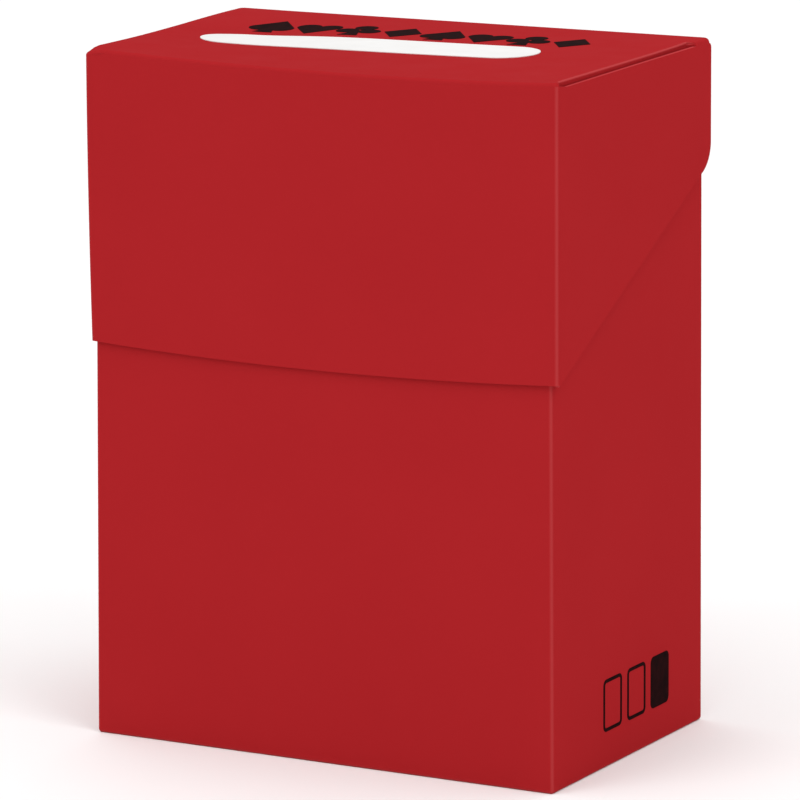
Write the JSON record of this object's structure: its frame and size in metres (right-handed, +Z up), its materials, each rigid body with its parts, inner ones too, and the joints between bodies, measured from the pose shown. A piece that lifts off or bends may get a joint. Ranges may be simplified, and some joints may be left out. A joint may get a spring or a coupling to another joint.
{
  "type": "card deck box",
  "caption": "Flip-top deck box for sleeved trading cards, folded from one creased plastic sheet, with a hinged lid, write-on strip and a loose deck divider.",
  "frame": {"origin": "middle of the underside, on the surface that the box stands on", "axes": "+Z up, +Y to the back (the lid's hinge side), +X to the right seen from the front"},
  "size_m": [0.0744, 0.0482, 0.099],
  "materials": {
    "box_sheet": "satin polypropylene sheet with a fine grain",
    "divider_sheet": "satin polypropylene sheet with a fine grain",
    "strip": "matte white write-on film",
    "ink": "screen-printed ink"
  },
  "bodies": {
    "body": {"front_panel": "box_sheet", "back_panel": "box_sheet", "left_side_panel": "box_sheet", "right_side_panel": "box_sheet", "seam_flap": "box_sheet", "bottom_panel": "box_sheet", "bottom_seam_flap": "box_sheet", "left_dust_flap": "box_sheet", "right_dust_flap": "box_sheet", "lid_hinge_web": "box_sheet", "side_mark": "ink"},
    "lid": {"lid_top_panel": "box_sheet", "lid_front_panel": "box_sheet", "lid_left_side_panel": "box_sheet", "lid_right_side_panel": "box_sheet", "lid_left_tab": "box_sheet", "lid_right_tab": "box_sheet", "write_on_strip": "strip", "top_mark": "ink"},
    "divider": {"deck_divider": "divider_sheet"}
  },
  "joints": [
    {"name": "lid_hinge", "type": "hinge", "parent": "body", "child": "lid", "pos_m": [0, 0.02375, 0.0989], "axis": [-1, 0, 0], "range_deg": [0, 260]},
    {"name": "divider_slide", "type": "slide", "parent": "body", "child": "divider", "axis": [0, -1, 0], "range_m": [0, 0.0444]}
  ]
}
